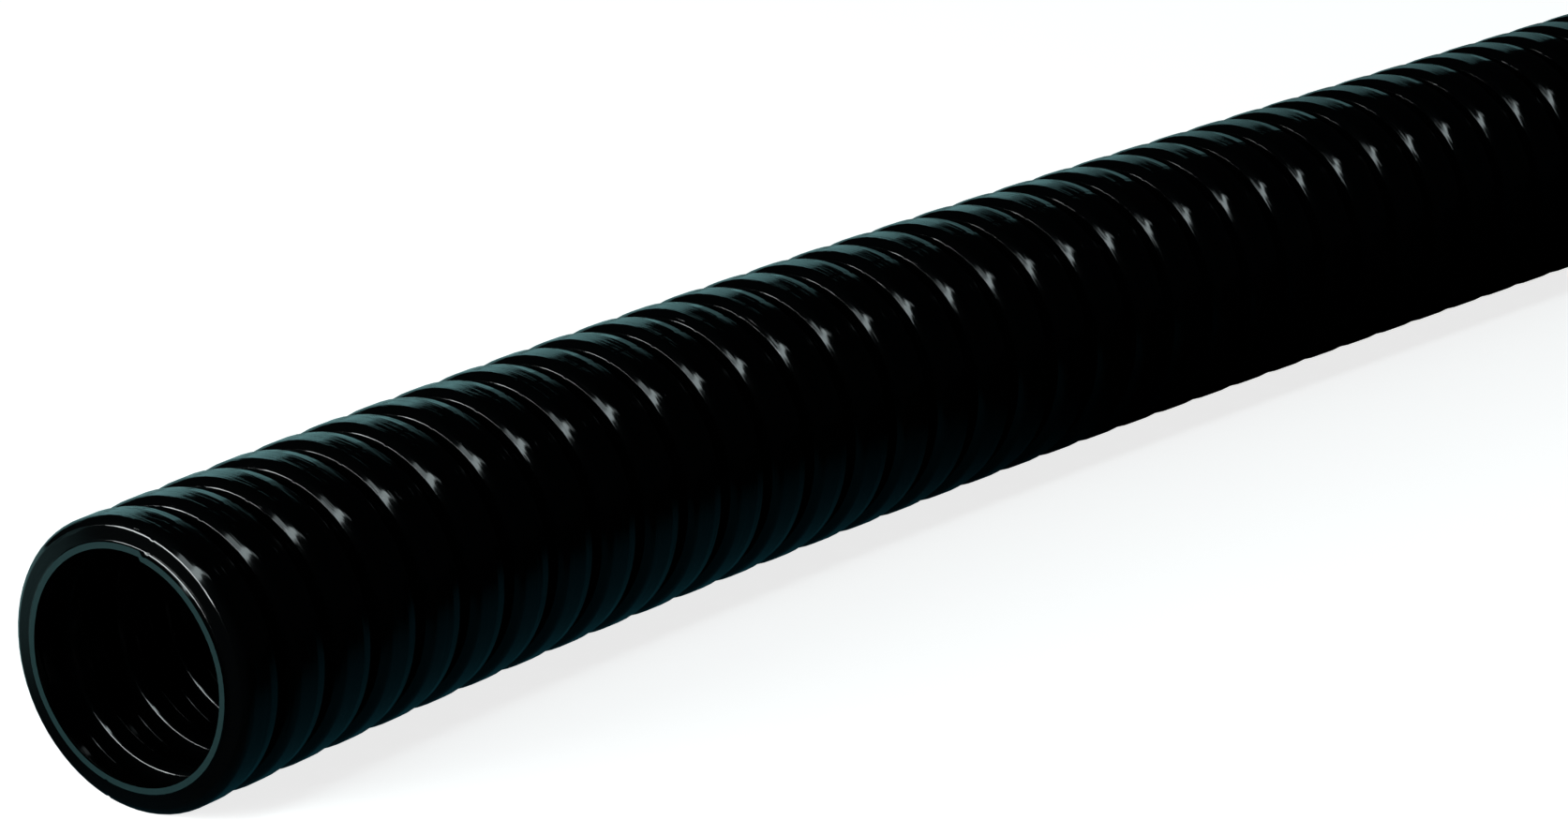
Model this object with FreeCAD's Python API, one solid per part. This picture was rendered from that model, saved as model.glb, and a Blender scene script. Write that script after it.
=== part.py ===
import FreeCAD, Part
import math
import os

# Driving sizes in millimetres, angles in degrees
OUTER_DIAMETER = 33.4       # over the crowns of the ribs
BORE_DIAMETER = 26.7        # clear bore inside the grooves
WALL = 0.7                  # wall at the crowns and at the bottom of the grooves
FLANK_WALL = 0.5            # wall of a rib's flanks, measured along the tube
PITCH = 7.62                # from one rib to the next
RIB_COUNT = 40              # ribs in a one-foot length
CROWN_WIDTH = 4.6           # flat top of a rib
GROOVE_WIDTH = 1.6          # flat floor of the groove between two ribs
CUT_PAST_GROOVE = 0.7       # both cuts run this far past the middle of their grooves
STRAIGHT_RIBS = 2           # ribs at the near end before the bend starts
BEND_ANGLE = 7.9            # set that the coil left in the tube
BEND_LENGTH = 250.0         # the bend eases out over this length
HEADING_STEP = 0.01         # rib headings go in whole steps, so neighbours match or clearly differ

# Radii worked out from the driving sizes
CROWN_RADIUS = OUTER_DIAMETER / 2
BORE_RADIUS = BORE_DIAMETER / 2
GROOVE_RADIUS = BORE_RADIUS + WALL
CAVITY_RADIUS = CROWN_RADIUS - WALL

# The mitring block reaches this far past the ribs
BLOCK_MARGIN = 2.0


def rib_heading(rib):
    """Direction of a rib's axis in the floor plane, in radians."""
    bent = (rib + 0.5 - STRAIGHT_RIBS) * PITCH
    share = min(max(bent / BEND_LENGTH, 0.0), 1.0)
    turned = BEND_ANGLE * (2 * share - share * share)
    return -math.radians(round(turned / HEADING_STEP) * HEADING_STEP)


def along(heading, distance):
    """Step of the given distance in the floor plane."""
    return FreeCAD.Vector(math.cos(heading), math.sin(heading), 0) * distance


def grooves():
    """Middle of each groove on the centreline, from the near end to the far end."""
    points = [FreeCAD.Vector(0, 0, 0)]
    for rib in range(RIB_COUNT):
        points.append(points[-1] + along(rib_heading(rib), PITCH))
    return points


def cuts():
    """Point and direction of each cut between ribs, square at both ends and mitred between."""
    last = RIB_COUNT - 1
    found = []
    for groove, point in enumerate(grooves()):
        before = rib_heading(max(groove - 1, 0))
        after = rib_heading(min(groove, last))
        if groove in (0, RIB_COUNT):
            point = point + along(after, CUT_PAST_GROOVE)
        found.append((point, (before + after) / 2))
    return found


def straight_rib():
    """One hollow rib of thin wall along X, with half a groove's floor before and after it."""
    crown = (PITCH - CROWN_WIDTH) / 2
    foot = GROOVE_WIDTH / 2
    outside = [(-foot, GROOVE_RADIUS), (foot, GROOVE_RADIUS), (crown, CROWN_RADIUS)]
    inside = [(-foot, BORE_RADIUS), (foot + FLANK_WALL, BORE_RADIUS), (crown + FLANK_WALL, CAVITY_RADIUS)]
    near_half = [FreeCAD.Vector(x, 0, radius) for x, radius in outside]
    far_half = [FreeCAD.Vector(PITCH - x, 0, radius) for x, radius in reversed(outside)]
    far_half += [FreeCAD.Vector(PITCH - x, 0, radius) for x, radius in inside]
    near_half = [FreeCAD.Vector(x, 0, radius) for x, radius in reversed(inside)] + near_half
    corners = near_half + far_half
    section = Part.Face(Part.makePolygon(corners + corners[:1]))
    return section.revolve(FreeCAD.Vector(0, 0, 0), FreeCAD.Vector(1, 0, 0), 360)


def mitre_block(start, end):
    """Block between two neighbouring cut planes."""
    reach = CROWN_RADIUS + BLOCK_MARGIN
    corners = []
    for (point, direction), sides in ((start, (-1, 1)), (end, (1, -1))):
        across = along(direction + math.pi / 2, 1)
        corners += [point + across * (side * reach) for side in sides]
    base = Part.Face(Part.makePolygon(corners + corners[:1]))
    base.translate(FreeCAD.Vector(0, 0, -reach))
    return base.extrude(FreeCAD.Vector(0, 0, 2 * reach))


def corrugated_tube():
    """All ribs along the bent centreline, fused into one thin wall."""
    pattern = straight_rib()
    starts = grooves()
    planes = cuts()
    ribs = []
    for rib in range(RIB_COUNT):
        placed = pattern.copy()
        placed.rotate(FreeCAD.Vector(0, 0, 0), FreeCAD.Vector(0, 0, 1), math.degrees(rib_heading(rib)))
        placed.translate(starts[rib])
        ribs.append(placed.common(mitre_block(planes[rib], planes[rib + 1])))
    return ribs[0].multiFuse(ribs[1:]).removeSplitter()


def laid_on_floor(tube):
    """Both ends level along X, lowest point at zero, middle of the box at the origin."""
    far_end = grooves()[-1]
    turn = -math.degrees(math.atan2(far_end.y, far_end.x))
    tube.rotate(FreeCAD.Vector(0, 0, 0), FreeCAD.Vector(0, 0, 1), turn)
    box = tube.optimalBoundingBox(False, False)
    tube.translate(FreeCAD.Vector(-box.Center.x, -box.Center.y, -box.ZMin))
    return tube


conduit = laid_on_floor(corrugated_tube())
os.makedirs("parts", exist_ok=True)
conduit.exportStep("parts/conduit.step")
print("solids", len(conduit.Solids), "valid", conduit.isValid(), "volume", round(conduit.Volume, 1))
print("box", conduit.optimalBoundingBox(False, False))
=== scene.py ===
"""A cut length of black corrugated conduit, dressed and lit as in the photograph."""
import bpy
import math

import numpy as np
from mathutils import Matrix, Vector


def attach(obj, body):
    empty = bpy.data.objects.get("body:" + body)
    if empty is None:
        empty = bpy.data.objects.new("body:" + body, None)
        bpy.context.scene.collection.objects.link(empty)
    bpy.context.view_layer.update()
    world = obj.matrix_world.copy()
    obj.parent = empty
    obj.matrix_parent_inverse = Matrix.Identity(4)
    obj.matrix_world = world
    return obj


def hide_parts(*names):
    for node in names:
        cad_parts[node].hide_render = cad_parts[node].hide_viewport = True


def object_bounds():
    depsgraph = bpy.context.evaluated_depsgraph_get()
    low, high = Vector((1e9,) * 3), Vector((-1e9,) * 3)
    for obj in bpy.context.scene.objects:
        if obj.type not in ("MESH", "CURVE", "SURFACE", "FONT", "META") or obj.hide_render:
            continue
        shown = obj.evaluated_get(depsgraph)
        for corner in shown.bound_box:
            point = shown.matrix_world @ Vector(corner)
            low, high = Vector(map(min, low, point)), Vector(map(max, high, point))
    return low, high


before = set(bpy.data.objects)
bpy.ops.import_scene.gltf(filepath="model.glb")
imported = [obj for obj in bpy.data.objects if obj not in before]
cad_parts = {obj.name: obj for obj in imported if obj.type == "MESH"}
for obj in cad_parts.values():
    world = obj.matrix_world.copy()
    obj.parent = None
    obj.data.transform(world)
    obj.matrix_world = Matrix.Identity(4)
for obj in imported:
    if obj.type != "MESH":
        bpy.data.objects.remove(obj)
cad_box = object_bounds()

MM = 0.001

# Sizes of the tube, in metres, the same as the construction's
OUTER_RADIUS = 16.7 * MM
BORE_RADIUS = 13.35 * MM
WALL = 0.7 * MM
PITCH = 7.62 * MM
RIB_COUNT = 40
CUT_PAST_GROOVE = 0.7 * MM
STRAIGHT_RIBS = 2
BEND_ANGLE = math.radians(7.9)
BEND_LENGTH = 250 * MM
HEADING_STEP = math.radians(0.01)

GROOVE_RADIUS = BORE_RADIUS + WALL
CAVITY_RADIUS = OUTER_RADIUS - WALL

# Section of a rib from the middle of one groove to the middle of the next: where its corners would
# be if they were sharp, the radius that rounds each, and how many steps round it
OUTSIDE = (
    (0.0, GROOVE_RADIUS, 0.0, 0),
    (0.85 * MM, GROOVE_RADIUS, 0.22 * MM, 1),
    (1.08 * MM, OUTER_RADIUS - 0.85 * MM, 0.45 * MM, 1),
    (1.72 * MM, OUTER_RADIUS, 1.1 * MM, 4),
    (4.94 * MM, OUTER_RADIUS, 0.2 * MM, 1),
    (6.42 * MM, OUTER_RADIUS - 0.26 * MM, 0.4 * MM, 2),
    (6.77 * MM, GROOVE_RADIUS, 0.22 * MM, 1),
)
INSIDE = (
    (0.0, BORE_RADIUS, 0.0, 0),
    (1.35 * MM, BORE_RADIUS, 0.5 * MM, 2),
    (1.75 * MM, CAVITY_RADIUS, 0.12 * MM, 1),
    (4.45 * MM, CAVITY_RADIUS, 0.2 * MM, 1),
    (5.90 * MM, CAVITY_RADIUS - 0.3 * MM, 0.12 * MM, 1),
    (6.27 * MM, BORE_RADIUS, 0.5 * MM, 2),
)
CUT_CLEARANCE = 0.05 * MM   # the first rib's rings are left out up to this far past the cut

# The mould's parting lines run along the tube on two opposite sides
SEAM_ANGLE = math.radians(104.5)
SEAM_HALF_WIDTH = math.radians(0.6)
SEAM_DEPTH = 0.1 * MM
SEAM_COLUMNS = ((-2, 0.0), (-1, SEAM_DEPTH), (1, SEAM_DEPTH), (2, 0.0))     # in half widths, and how deep
SEAM_KEPT_CLEAR = 3                                                         # in half widths

# The knife went round the near end and came out this far from where it went in, with a slight wave
CUT_STEP = 0.6 * MM
CUT_STEP_ANGLE = math.radians(101)
CUT_STEP_FADE = math.radians(150)
CUT_WAVE = 0.03 * MM
CUT_WAVE_TURNS = (3, 7)     # waves in one turn round the tube
CUT_WAVE_START = 1.0        # radians, for the longer of the two

COLUMNS = 72                # around the tube, before the seams' own columns are added

# Material slots of the tube's mesh
SKIN, CUT, BORE = 0, 1, 2

# Finish of the plastic
PLASTIC_COLOR = (0.0006, 0.0008, 0.0009, 1)
PLASTIC_ROUGHNESS = 0.09
PLASTIC_IOR = 1.5

# Fine drawn lines round the skin, with deeper scratches where the noise is high
LINES_PER_PITCH = 22.0
LINE_DRIFT = 1.2            # how much the lines change on their way round
LINE_DETAIL = 3.0
LINE_UNEVENNESS = 0.6
LINE_HEIGHT = 0.02 * MM
SCRATCH_RANGE = (0.55, 0.75)    # noise at which a scratch starts and at which it is full
SCRATCH = 1.2               # how deep the scratches are beside the fine lines

# Slow unevenness of the bore
BORE_NOISE = 160.0          # per metre
BORE_DETAIL = 1.0
BORE_BUMP = 0.3

# Paler, duller wall where the knife went through
CUT_COLOR = (0.003, 0.018, 0.019, 1)
CUT_ROUGHNESS = 0.5
CUT_SPECULAR = 0.15
CUT_NOISE = 900.0           # per metre
CUT_DETAIL = 2.0
CUT_BUMP = 0.6
CUT_GRAIN = 0.05 * MM

# Floor
FLOOR_RADIUS = 3.0
FLOOR_SIDES = 64
FLOOR_COLOR = (0.8, 0.8, 0.8, 1)
FLOOR_WHITE = 0.80          # added to the floor where the camera sees it
WHITE = (1, 1, 1, 1)

# Painted reflections: patches of the floor that glow, though they are no lamps, and show only in reflections, so
# that the tube mirrors them.
# A fade names the place where a glow is nothing and the place where it is full, in metres from the middle of the
# tube.
PAINTED_BACK_REFLECTION_COLOR = (0.5, 0.97, 1, 1)
PAINTED_BACK_REFLECTION = 0.38            # painted reflection: a pale glowing patch behind the tube, seen only in reflections
BACK_SLANT = (0.62, 0.79)   # their left limit runs across this direction
BACK_LEFT_FADE = (-0.093, -0.05)
BACK_NEAR_FADE = (0.01, 0.05)
BACK_DIMMING = (0.02, 0.35)     # from the near part of the tube to the far one
PAINTED_BACK_REFLECTION_DIMMED = PAINTED_BACK_REFLECTION * 0.3
PAINTED_FRONT_REFLECTION_COLOR = (0.12, 0.75, 1, 1)
PAINTED_FRONT_REFLECTION = 0.045          # painted reflection: a dim glowing strip close to the tube's front, seen only in reflections
FRONT_REACH_FADE = (0.065, 0.025)
FRONT_START_FADE = (-0.16, -0.145)
FRONT_END_FADE = (0.02, -0.06)

# Lamps. Radiance is what a mirror would show of a lamp, angles are in degrees and sizes in metres.
# The boxes face the tube, from an azimuth that starts at +X.
BACK_TINT = (0.45, 0.96, 1.0)
BACK_ELEVATION = 10.5
BACK_DISTANCE = 1.6
BACK_BOXES = (              # name, azimuth, size, radiance
    ("back_left", 72, (1.29, 0.66), 0.45),
    ("back_mid", 45, (0.28, 0.66), 0.38),
    ("back_right", 33.5, (0.365, 0.66), 0.2),
)
LEFT_TINT = (0.93, 1.0, 1.0)
LEFT_AZIMUTH = 162
LEFT_ELEVATION = 12
LEFT_DISTANCE = 1.2
LEFT_SIZE = (0.7, 0.48)
LEFT_RADIANCE = 11.0

# One long strip lamp in three parts, each given by the two corners of its near end, in metres from a
# point at the tube's near end, halfway across its box and at its axis's height
STRIP_TINT = (0.84, 0.98, 1.0)
STRIP_DIRECTION = (0.7025, -0.3493, 0.625)
STRIPS = (                  # name, low corner, high corner, length, radiance
    ("strip_light", (-1.089, -0.008, 0.162), (-1.082, 0.072, 0.213), 1.35, 4.4),
    ("strip_tail", (-0.141, -0.480, 1.006), (-0.134, -0.400, 1.057), 1.35, 1.4),
    ("strip_wing", (-1.082, 0.072, 0.213), (-1.07, 0.207, 0.298), 0.62, 2.0),
)
AREA_LAMP_FACTOR = 4        # watts for a radiance of 1 over a square metre, by the renderer's rule

WORLD_COLOR = (0.002, 0.0025, 0.003, 1)

# Camera of the photograph, found from the tube's outlines, its bore and its ribs
PHOTO_WIDTH = 1673
FOCAL_PIXELS = 6374
SENSOR_WIDTH = 36.0
CAMERA_PLACE = (-0.5497, -0.44827, 0.24514)
CAMERA_PITCH = math.radians(18.658)
CAMERA_YAW = math.radians(-48.499)
CAMERA_RANGE = (0.01, 20.0)


def rounded_corner(corner, before, after, radius, shares):
    """Points and normals along an arc that rounds one corner of the section."""
    corner, before, after = (np.array(p) for p in (corner, before, after))
    arriving = (corner - before) / np.linalg.norm(corner - before)
    leaving = (after - corner) / np.linalg.norm(after - corner)
    turn = math.atan2(arriving[0] * leaving[1] - arriving[1] * leaving[0], arriving @ leaving)
    reach = radius * math.tan(abs(turn) / 2)
    side = math.copysign(1.0, turn)
    inward = np.array((-arriving[1], arriving[0])) * side
    centre = corner - arriving * reach + inward * radius
    found = []
    for share in shares:
        angle = turn * share
        spoke = np.array((
            -inward[0] * math.cos(angle) + inward[1] * math.sin(angle),
            -inward[0] * math.sin(angle) - inward[1] * math.cos(angle)))
        found.append((centre + spoke * radius, spoke * -side))
    return found


def rib_section(corners, facing):
    """Points and normals of one side of a rib's wall, from the middle of its groove."""
    points = []
    for k, (place, radius, rounding, steps) in enumerate(corners):
        before = corners[k - 1][:2] if k else (corners[-1][0] - PITCH, corners[-1][1])
        after = corners[k + 1][:2] if k + 1 < len(corners) else (corners[0][0] + PITCH, corners[0][1])
        if steps == 0:
            points.append((np.array((place, radius)), np.array((0.0, facing))))
        else:
            shares = [step / steps for step in range(steps + 1)]
            points += [(spot, normal * facing) for spot, normal in
                       rounded_corner((place, radius), before, after, rounding, shares)]
    return points


def rib_heading(rib):
    """Direction of a rib's axis in the floor plane."""
    bent = (rib + 0.5 - STRAIGHT_RIBS) * PITCH
    share = min(max(bent / BEND_LENGTH, 0.0), 1.0)
    turned = BEND_ANGLE * (2 * share - share * share)
    return -round(turned / HEADING_STEP) * HEADING_STEP


def centreline():
    """Middle of each groove and the heading of each rib, lying as the construction does."""
    headings = [rib_heading(rib) for rib in range(RIB_COUNT)]
    steps = np.array([(math.cos(h), math.sin(h)) for h in headings]) * PITCH
    end = steps.sum(axis=0)
    turn = -math.atan2(end[1], end[0])
    headings = [h + turn for h in headings]
    points = [np.zeros(2)]
    for h in headings:
        points.append(points[-1] + PITCH * np.array((math.cos(h), math.sin(h))))
    return points, headings


def skin_rings(section, radius, facing):
    """Rings of one skin of the wall from the near cut to the far one: centre, heading, radius,
    normal in the section, and place along the tube."""
    points, headings = centreline()
    last = RIB_COUNT - 1
    flat = np.array((0.0, facing))

    def ring(rib, place, normal, along):
        heading = headings[rib]
        if place[0] == 0.0 and rib > 0:
            heading = (headings[rib - 1] + headings[rib]) / 2
        ahead = np.array((math.cos(headings[rib]), math.sin(headings[rib])))
        return (points[rib] + ahead * place[0], heading, place[1], normal, along)

    found = [ring(0, (CUT_PAST_GROOVE, radius), flat, CUT_PAST_GROOVE)]
    for rib in range(RIB_COUNT):
        for place, normal in section:
            if rib > 0 or place[0] > CUT_PAST_GROOVE + CUT_CLEARANCE:
                found.append(ring(rib, place, normal, rib * PITCH + place[0]))
    found.append(ring(last, (PITCH, radius), flat, RIB_COUNT * PITCH))
    found.append(ring(last, (PITCH + CUT_PAST_GROOVE, radius), flat, RIB_COUNT * PITCH + CUT_PAST_GROOVE))
    return found


def column_angles():
    """Angles around the tube, with close columns at the two parting lines, and each one's inset."""
    insets = {2 * math.pi * k / COLUMNS: 0.0 for k in range(COLUMNS)}
    for seam in (SEAM_ANGLE, SEAM_ANGLE + math.pi):
        for angle in [a for a in insets if abs(a - seam) < SEAM_KEPT_CLEAR * SEAM_HALF_WIDTH]:
            del insets[angle]
        for half_widths, depth in SEAM_COLUMNS:
            insets[seam + half_widths * SEAM_HALF_WIDTH] = depth
    angles = sorted(insets)
    return np.array(angles), np.array([insets[a] for a in angles])


def knife_offset(angles):
    """How far each point of the near cut lies before or behind its plane."""
    past = (angles - CUT_STEP_ANGLE) % (2 * math.pi)
    step = -CUT_STEP * np.clip(1 - past / CUT_STEP_FADE, 0.0, 1.0)
    slow, quick = CUT_WAVE_TURNS
    wave = CUT_WAVE * (np.sin(slow * angles + CUT_WAVE_START) + np.sin(quick * angles) + 1.0)
    return step + wave


def wall_points(loop, outer_count, angles, inset):
    """Places and normals of every point of the wall, ring by ring, lying where the CAD does."""
    count, columns = len(loop), len(angles)
    cosines, sines = np.cos(angles), np.sin(angles)
    places = np.zeros((count, columns, 3))
    normals = np.zeros((count, columns, 3))
    for k, (centre, heading, radius, normal, _) in enumerate(loop):
        ahead = np.array((math.cos(heading), math.sin(heading), 0.0))
        left = np.array((-math.sin(heading), math.cos(heading), 0.0))
        spokes = cosines[:, None] * left + sines[:, None] * np.array((0.0, 0.0, 1.0))
        outward = radius - inset if k < outer_count else np.full(columns, radius)
        places[k] = np.array((centre[0], centre[1], 0.0)) + spokes * outward[:, None]
        if k in (0, count - 1):
            places[k] += knife_offset(angles)[:, None] * ahead
        normals[k] = normal[0] * ahead + normal[1] * spokes
    low, high = places.reshape(-1, 3).min(axis=0), places.reshape(-1, 3).max(axis=0)
    places += np.array((
        (cad_box[0][0] + cad_box[1][0] - low[0] - high[0]) / 2,
        (cad_box[0][1] + cad_box[1][1] - low[1] - high[1]) / 2,
        -low[2]))
    return places, normals


def wall_faces(count, columns):
    """Four-sided faces between each ring and the next, closed both ways round."""
    ring = np.arange(count)[:, None]
    column = np.arange(columns)[None, :]
    next_ring = (ring + 1) % count
    next_column = (column + 1) % columns
    corners = ((ring, column), (ring, next_column), (next_ring, next_column), (next_ring, column))
    return np.stack([r * columns + c for r, c in corners], axis=-1).reshape(-1, 4)


def wall_uv(along, angles):
    """Place along the tube in pitches and share of the turn around it, for each face's corners."""
    count, columns = len(along), len(angles)
    after = np.append(along[1:], along[0])
    turns = np.append(angles, angles[0] + 2 * math.pi) / (2 * math.pi)
    start, end = turns[:-1], turns[1:]
    u = [np.broadcast_to(place[:, None], (count, columns)) for place in (along, along, after, after)]
    v = [np.broadcast_to(turn[None, :], (count, columns)) for turn in (start, end, end, start)]
    return np.stack([np.stack(u, axis=-1) / PITCH, np.stack(v, axis=-1)], axis=-1)


def build_tube():
    """The whole conduit as one closed wall: outside, far cut, back along the inside, near cut."""
    outer = skin_rings(rib_section(OUTSIDE, 1.0), GROOVE_RADIUS, 1.0)
    inner = skin_rings(rib_section(INSIDE, -1.0), BORE_RADIUS, -1.0)
    loop = outer + inner[::-1]
    angles, inset = column_angles()
    count, columns = len(loop), len(angles)
    places, normals = wall_points(loop, len(outer), angles, inset)
    faces = wall_faces(count, columns)
    loop_normals = normals.reshape(-1, 3)[faces.reshape(-1)].reshape(-1, 4, 3)
    slots = np.full(len(faces), SKIN, dtype=np.int32)
    slots[len(outer) * columns:] = BORE
    for cap, outwards in ((len(outer) - 1, 1.0), (count - 1, -1.0)):
        heading = loop[cap][1]
        capped = slice(cap * columns, (cap + 1) * columns)
        loop_normals[capped] = outwards * np.array((math.cos(heading), math.sin(heading), 0.0))
        slots[capped] = CUT

    mesh = bpy.data.meshes.new("corrugated_tube")
    mesh.from_pydata(places.reshape(-1, 3).tolist(), [], faces.tolist())
    mesh.polygons.foreach_set("material_index", slots)
    mesh.polygons.foreach_set("use_smooth", np.ones(len(faces), dtype=bool))
    uv = wall_uv(np.array([place for *_, place in loop]), angles)
    layer = mesh.uv_layers.new(name="along_and_around")
    layer.data.foreach_set("uv", uv.reshape(-1).astype(np.float32))
    mesh.normals_split_custom_set(loop_normals.reshape(-1, 3).tolist())
    tube = bpy.data.objects.new("corrugated_tube", mesh)
    bpy.context.collection.objects.link(tube)
    return tube


class Nodes:
    """Short way to add and wire shader nodes."""

    def __init__(self, name):
        self.material = bpy.data.materials.new(name)
        self.material.use_nodes = True
        self.tree = self.material.node_tree
        self.tree.nodes.clear()

    def add(self, kind, settings=None, **inputs):
        """Node with its inputs by name, or by number where they are called i0, i1 and so on."""
        node = self.tree.nodes.new("ShaderNode" + kind)
        for key, value in (settings or {}).items():
            setattr(node, key, value)
        for key, value in inputs.items():
            numbered = key[0] == "i" and key[1:].isdigit()
            socket = node.inputs[int(key[1:]) if numbered else key.replace("_", " ")]
            if isinstance(value, bpy.types.NodeSocket):
                self.tree.links.new(value, socket)
            else:
                socket.default_value = value
        return node

    def math(self, operation, a, b=0.0, c=0.0):
        """Result of a Math node."""
        return self.add("Math", {"operation": operation}, i0=a, i1=b, i2=c).outputs[0]

    def times(self, a, b):
        """Product of two values."""
        return self.math("MULTIPLY", a, b)

    def fade(self, value, limits, low=0.0, high=1.0):
        """Smooth change from low at the first limit to high at the second."""
        return self.add("MapRange", {"interpolation_type": "SMOOTHSTEP"}, Value=value, From_Min=limits[0],
                        From_Max=limits[1], To_Min=low, To_Max=high).outputs[0]

    def glow(self, color, strength):
        """Emission of one colour."""
        return self.add("Emission", Color=color, Strength=strength).outputs[0]

    def finish(self, surface):
        """The material with its surface connected."""
        self.add("OutputMaterial", Surface=surface)
        return self.material


def black_plastic():
    """Glossy black plastic with fine drawn lines around the tube."""
    n = Nodes("black_plastic")
    uv = n.add("UVMap", {"uv_map": "along_and_around"}).outputs[0]
    split = n.add("SeparateXYZ", Vector=uv)
    turn = n.times(split.outputs[1], 2 * math.pi)
    along = n.times(split.outputs[0], LINES_PER_PITCH)
    across = n.times(n.math("COSINE", turn), LINE_DRIFT)
    down = n.times(n.math("SINE", turn), LINE_DRIFT)
    place = n.add("CombineXYZ", X=along, Y=across, Z=down).outputs[0]
    lines = n.add("TexNoise", Vector=place, Scale=1.0, Detail=LINE_DETAIL, Roughness=LINE_UNEVENNESS).outputs[0]
    deep = n.add("MapRange", Value=lines, From_Min=SCRATCH_RANGE[0], From_Max=SCRATCH_RANGE[1],
                 To_Min=0.0, To_Max=1.0).outputs[0]
    height = n.math("MULTIPLY_ADD", deep, -SCRATCH, lines)
    bump = n.add("Bump", Strength=1.0, Distance=LINE_HEIGHT, Height=height).outputs[0]
    shader = n.add("BsdfPrincipled", Base_Color=PLASTIC_COLOR, Roughness=PLASTIC_ROUGHNESS, IOR=PLASTIC_IOR,
                   Normal=bump)
    return n.finish(shader.outputs[0])


def bore_plastic():
    """The same plastic inside, as the mould's air left it, with a faint slow unevenness."""
    n = Nodes("bore_plastic")
    place = n.add("TexCoord").outputs["Object"]
    uneven = n.add("TexNoise", Vector=place, Scale=BORE_NOISE, Detail=BORE_DETAIL).outputs[0]
    bump = n.add("Bump", Strength=BORE_BUMP, Distance=LINE_HEIGHT, Height=uneven).outputs[0]
    shader = n.add("BsdfPrincipled", Base_Color=PLASTIC_COLOR, Roughness=PLASTIC_ROUGHNESS, IOR=PLASTIC_IOR,
                   Normal=bump)
    return n.finish(shader.outputs[0])


def cut_plastic():
    """The knife's cut through the wall, paler and duller than the skin."""
    n = Nodes("cut_plastic")
    place = n.add("TexCoord").outputs["Object"]
    grain = n.add("TexNoise", Vector=place, Scale=CUT_NOISE, Detail=CUT_DETAIL).outputs[0]
    bump = n.add("Bump", Strength=CUT_BUMP, Distance=CUT_GRAIN, Height=grain).outputs[0]
    shader = n.add("BsdfPrincipled", Base_Color=CUT_COLOR, Roughness=CUT_ROUGHNESS,
                   Specular_IOR_Level=CUT_SPECULAR, Normal=bump)
    return n.finish(shader.outputs[0])


def pale_floor():
    """Pale floor that keeps the shadow, white to the camera; to reflections it shows only glowing patches,
    painted reflections in the tube.
    """
    n = Nodes("pale_floor")
    rays = n.add("LightPath")
    camera = n.math("MAXIMUM", rays.outputs["Is Camera Ray"], rays.outputs["Is Transmission Ray"])
    place = n.add("TexCoord").outputs["Object"]
    split = n.add("SeparateXYZ", Vector=place)
    x, y = split.outputs[0], split.outputs[1]

    # Painted reflections: glowing patches that only reflections see, a pale one behind the tube and a dim one at
    # its front
    slanted = n.math("ADD", n.times(x, BACK_SLANT[0]), n.times(y, BACK_SLANT[1]))
    behind = n.times(n.fade(slanted, BACK_LEFT_FADE), n.fade(y, BACK_NEAR_FADE))
    behind = n.times(behind, n.fade(x, BACK_DIMMING, PAINTED_BACK_REFLECTION, PAINTED_BACK_REFLECTION_DIMMED))
    front = n.times(n.fade(n.math("ABSOLUTE", y), FRONT_REACH_FADE, high=PAINTED_FRONT_REFLECTION), n.fade(x, FRONT_START_FADE))
    front = n.times(front, n.fade(x, FRONT_END_FADE))
    painted_reflections = n.add("AddShader", i0=n.glow(PAINTED_BACK_REFLECTION_COLOR, behind), i1=n.glow(PAINTED_FRONT_REFLECTION_COLOR, front)).outputs[0]
    white = n.glow(WHITE, n.times(camera, FLOOR_WHITE))
    matt = n.add("BsdfDiffuse", Color=FLOOR_COLOR).outputs[0]
    lit = n.add("AddShader", i0=white, i1=matt).outputs[0]
    # Reflections see only the painted reflections, not the lit floor
    shown = n.add("MixShader", i0=rays.outputs["Is Glossy Ray"], i1=lit, i2=painted_reflections)
    return n.finish(shown.outputs[0])


def floor_disc():
    """Round floor, level with the tube's underside."""
    turns = [2 * math.pi * k / FLOOR_SIDES for k in range(FLOOR_SIDES)]
    rim = [(FLOOR_RADIUS * math.cos(turn), FLOOR_RADIUS * math.sin(turn), 0.0) for turn in turns]
    mesh = bpy.data.meshes.new("floor")
    mesh.from_pydata(rim, [], [list(range(FLOOR_SIDES))])
    floor = bpy.data.objects.new("floor", mesh)
    bpy.context.collection.objects.link(floor)
    mesh.materials.append(pale_floor())


def area_lamp(name, size, radiance, color):
    """Rectangular lamp that the camera doesn't see, not yet placed."""
    lamp = bpy.data.lights.new(name, "AREA")
    lamp.shape = "RECTANGLE"
    lamp.size, lamp.size_y = size
    lamp.color = color
    lamp.energy = radiance * AREA_LAMP_FACTOR * size[0] * size[1]
    holder = bpy.data.objects.new(name, lamp)
    holder.visible_camera = False
    bpy.context.collection.objects.link(holder)
    return holder


def soft_box(name, azimuth, elevation, distance, size, radiance, color):
    """Lamp that faces the middle of the tube."""
    holder = area_lamp(name, size, radiance, color)
    a, e = math.radians(azimuth), math.radians(elevation)
    away = np.array((math.cos(e) * math.cos(a), math.cos(e) * math.sin(a), math.sin(e)))
    holder.location = away * distance
    holder.rotation_euler = (math.pi / 2 - e, 0.0, a + math.pi / 2)


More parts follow.
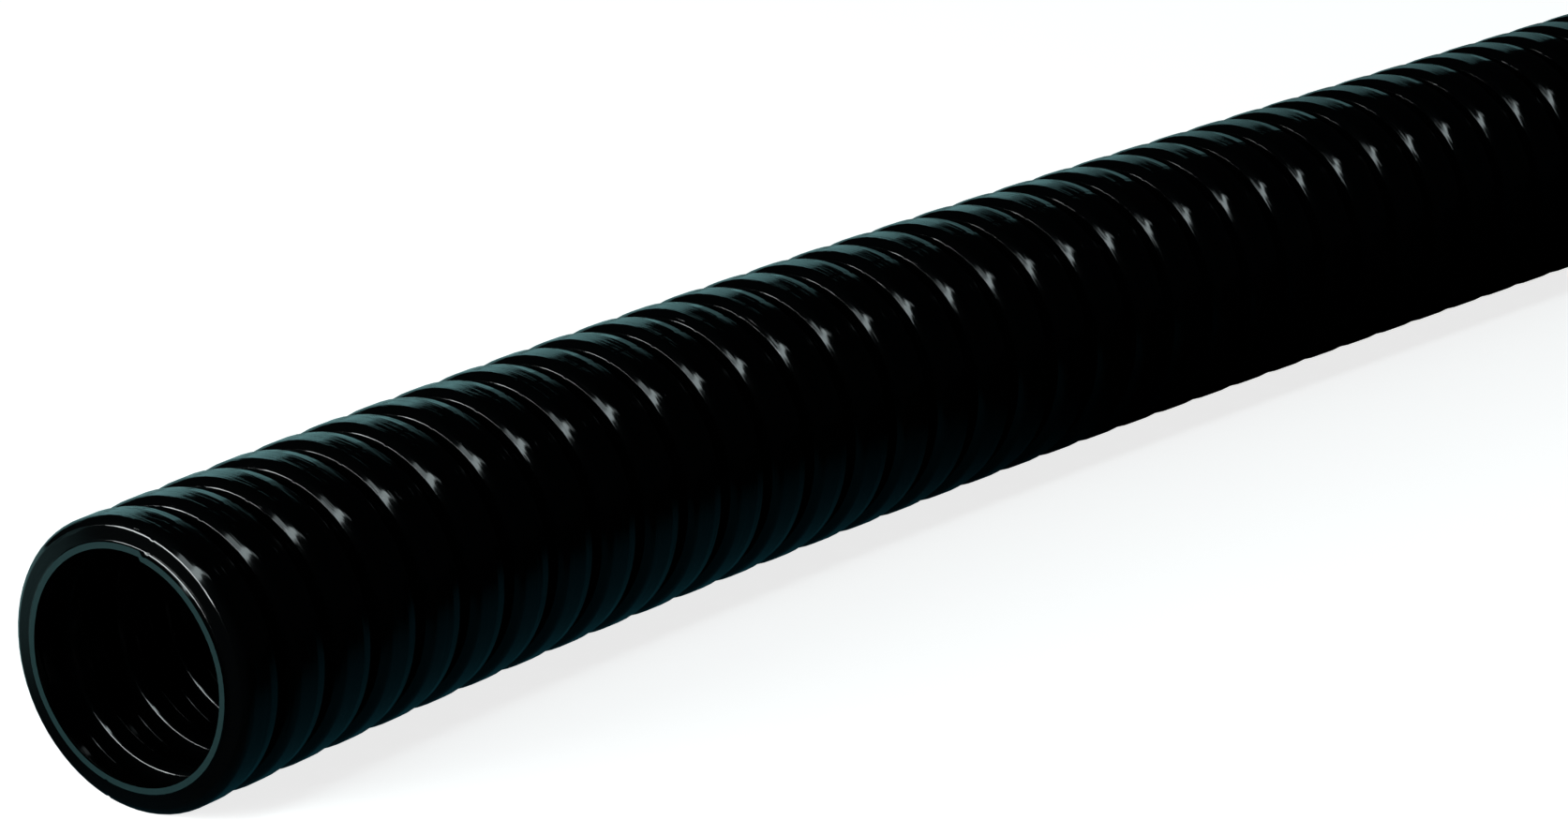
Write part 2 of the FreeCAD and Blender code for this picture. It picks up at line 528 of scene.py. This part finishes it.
def strip_light(name, low_corner, high_corner, length, radiance):
    """Part of the strip lamp, from its near end's two corners along the strip's direction."""
    start = np.array((cad_box[0][0], 0.0, OUTER_RADIUS))
    low, high = start + np.array(low_corner), start + np.array(high_corner)
    ahead = np.array(STRIP_DIRECTION) / np.linalg.norm(STRIP_DIRECTION)
    across = high - low
    across -= ahead * (across @ ahead)
    width = np.linalg.norm(across)
    across /= width
    centre = (low + high + ahead * length) / 2
    away = np.cross(ahead, across)
    if away @ (centre - start) < 0:
        across, away = -across, -away
    holder = area_lamp(name, (length, width), radiance, STRIP_TINT)
    turn = Matrix((ahead, across, away)).transposed().to_4x4()
    turn.translation = centre
    holder.matrix_world = turn


def photo_camera():
    """Camera at the photograph's viewing angle."""
    data = bpy.data.cameras.new("photo_camera")
    data.sensor_width = SENSOR_WIDTH
    data.lens = FOCAL_PIXELS / PHOTO_WIDTH * SENSOR_WIDTH
    data.clip_start, data.clip_end = CAMERA_RANGE
    camera = bpy.data.objects.new("photo_camera", data)
    camera.location = CAMERA_PLACE
    camera.rotation_euler = (math.pi / 2 - CAMERA_PITCH, 0.0, CAMERA_YAW)
    bpy.context.collection.objects.link(camera)
    bpy.context.scene.camera = camera


def dark_studio():
    """Nearly black surroundings beyond the floor and the lamps."""
    world = bpy.data.worlds.new("studio")
    world.use_nodes = True
    world.node_tree.nodes["Background"].inputs[0].default_value = WORLD_COLOR
    bpy.context.scene.world = world


tube = build_tube()
for material in (black_plastic(), cut_plastic(), bore_plastic()):      # in the order of the slots
    tube.data.materials.append(material)
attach(tube, "root")
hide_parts("conduit")

floor_disc()
for name, azimuth, size, radiance in BACK_BOXES:
    soft_box(name, azimuth, BACK_ELEVATION, BACK_DISTANCE, size, radiance, BACK_TINT)
for strip in STRIPS:
    strip_light(*strip)
soft_box("left_light", LEFT_AZIMUTH, LEFT_ELEVATION, LEFT_DISTANCE, LEFT_SIZE, LEFT_RADIANCE, LEFT_TINT)
dark_studio()
bpy.context.scene.view_settings.view_transform = "Standard"

photo_camera()
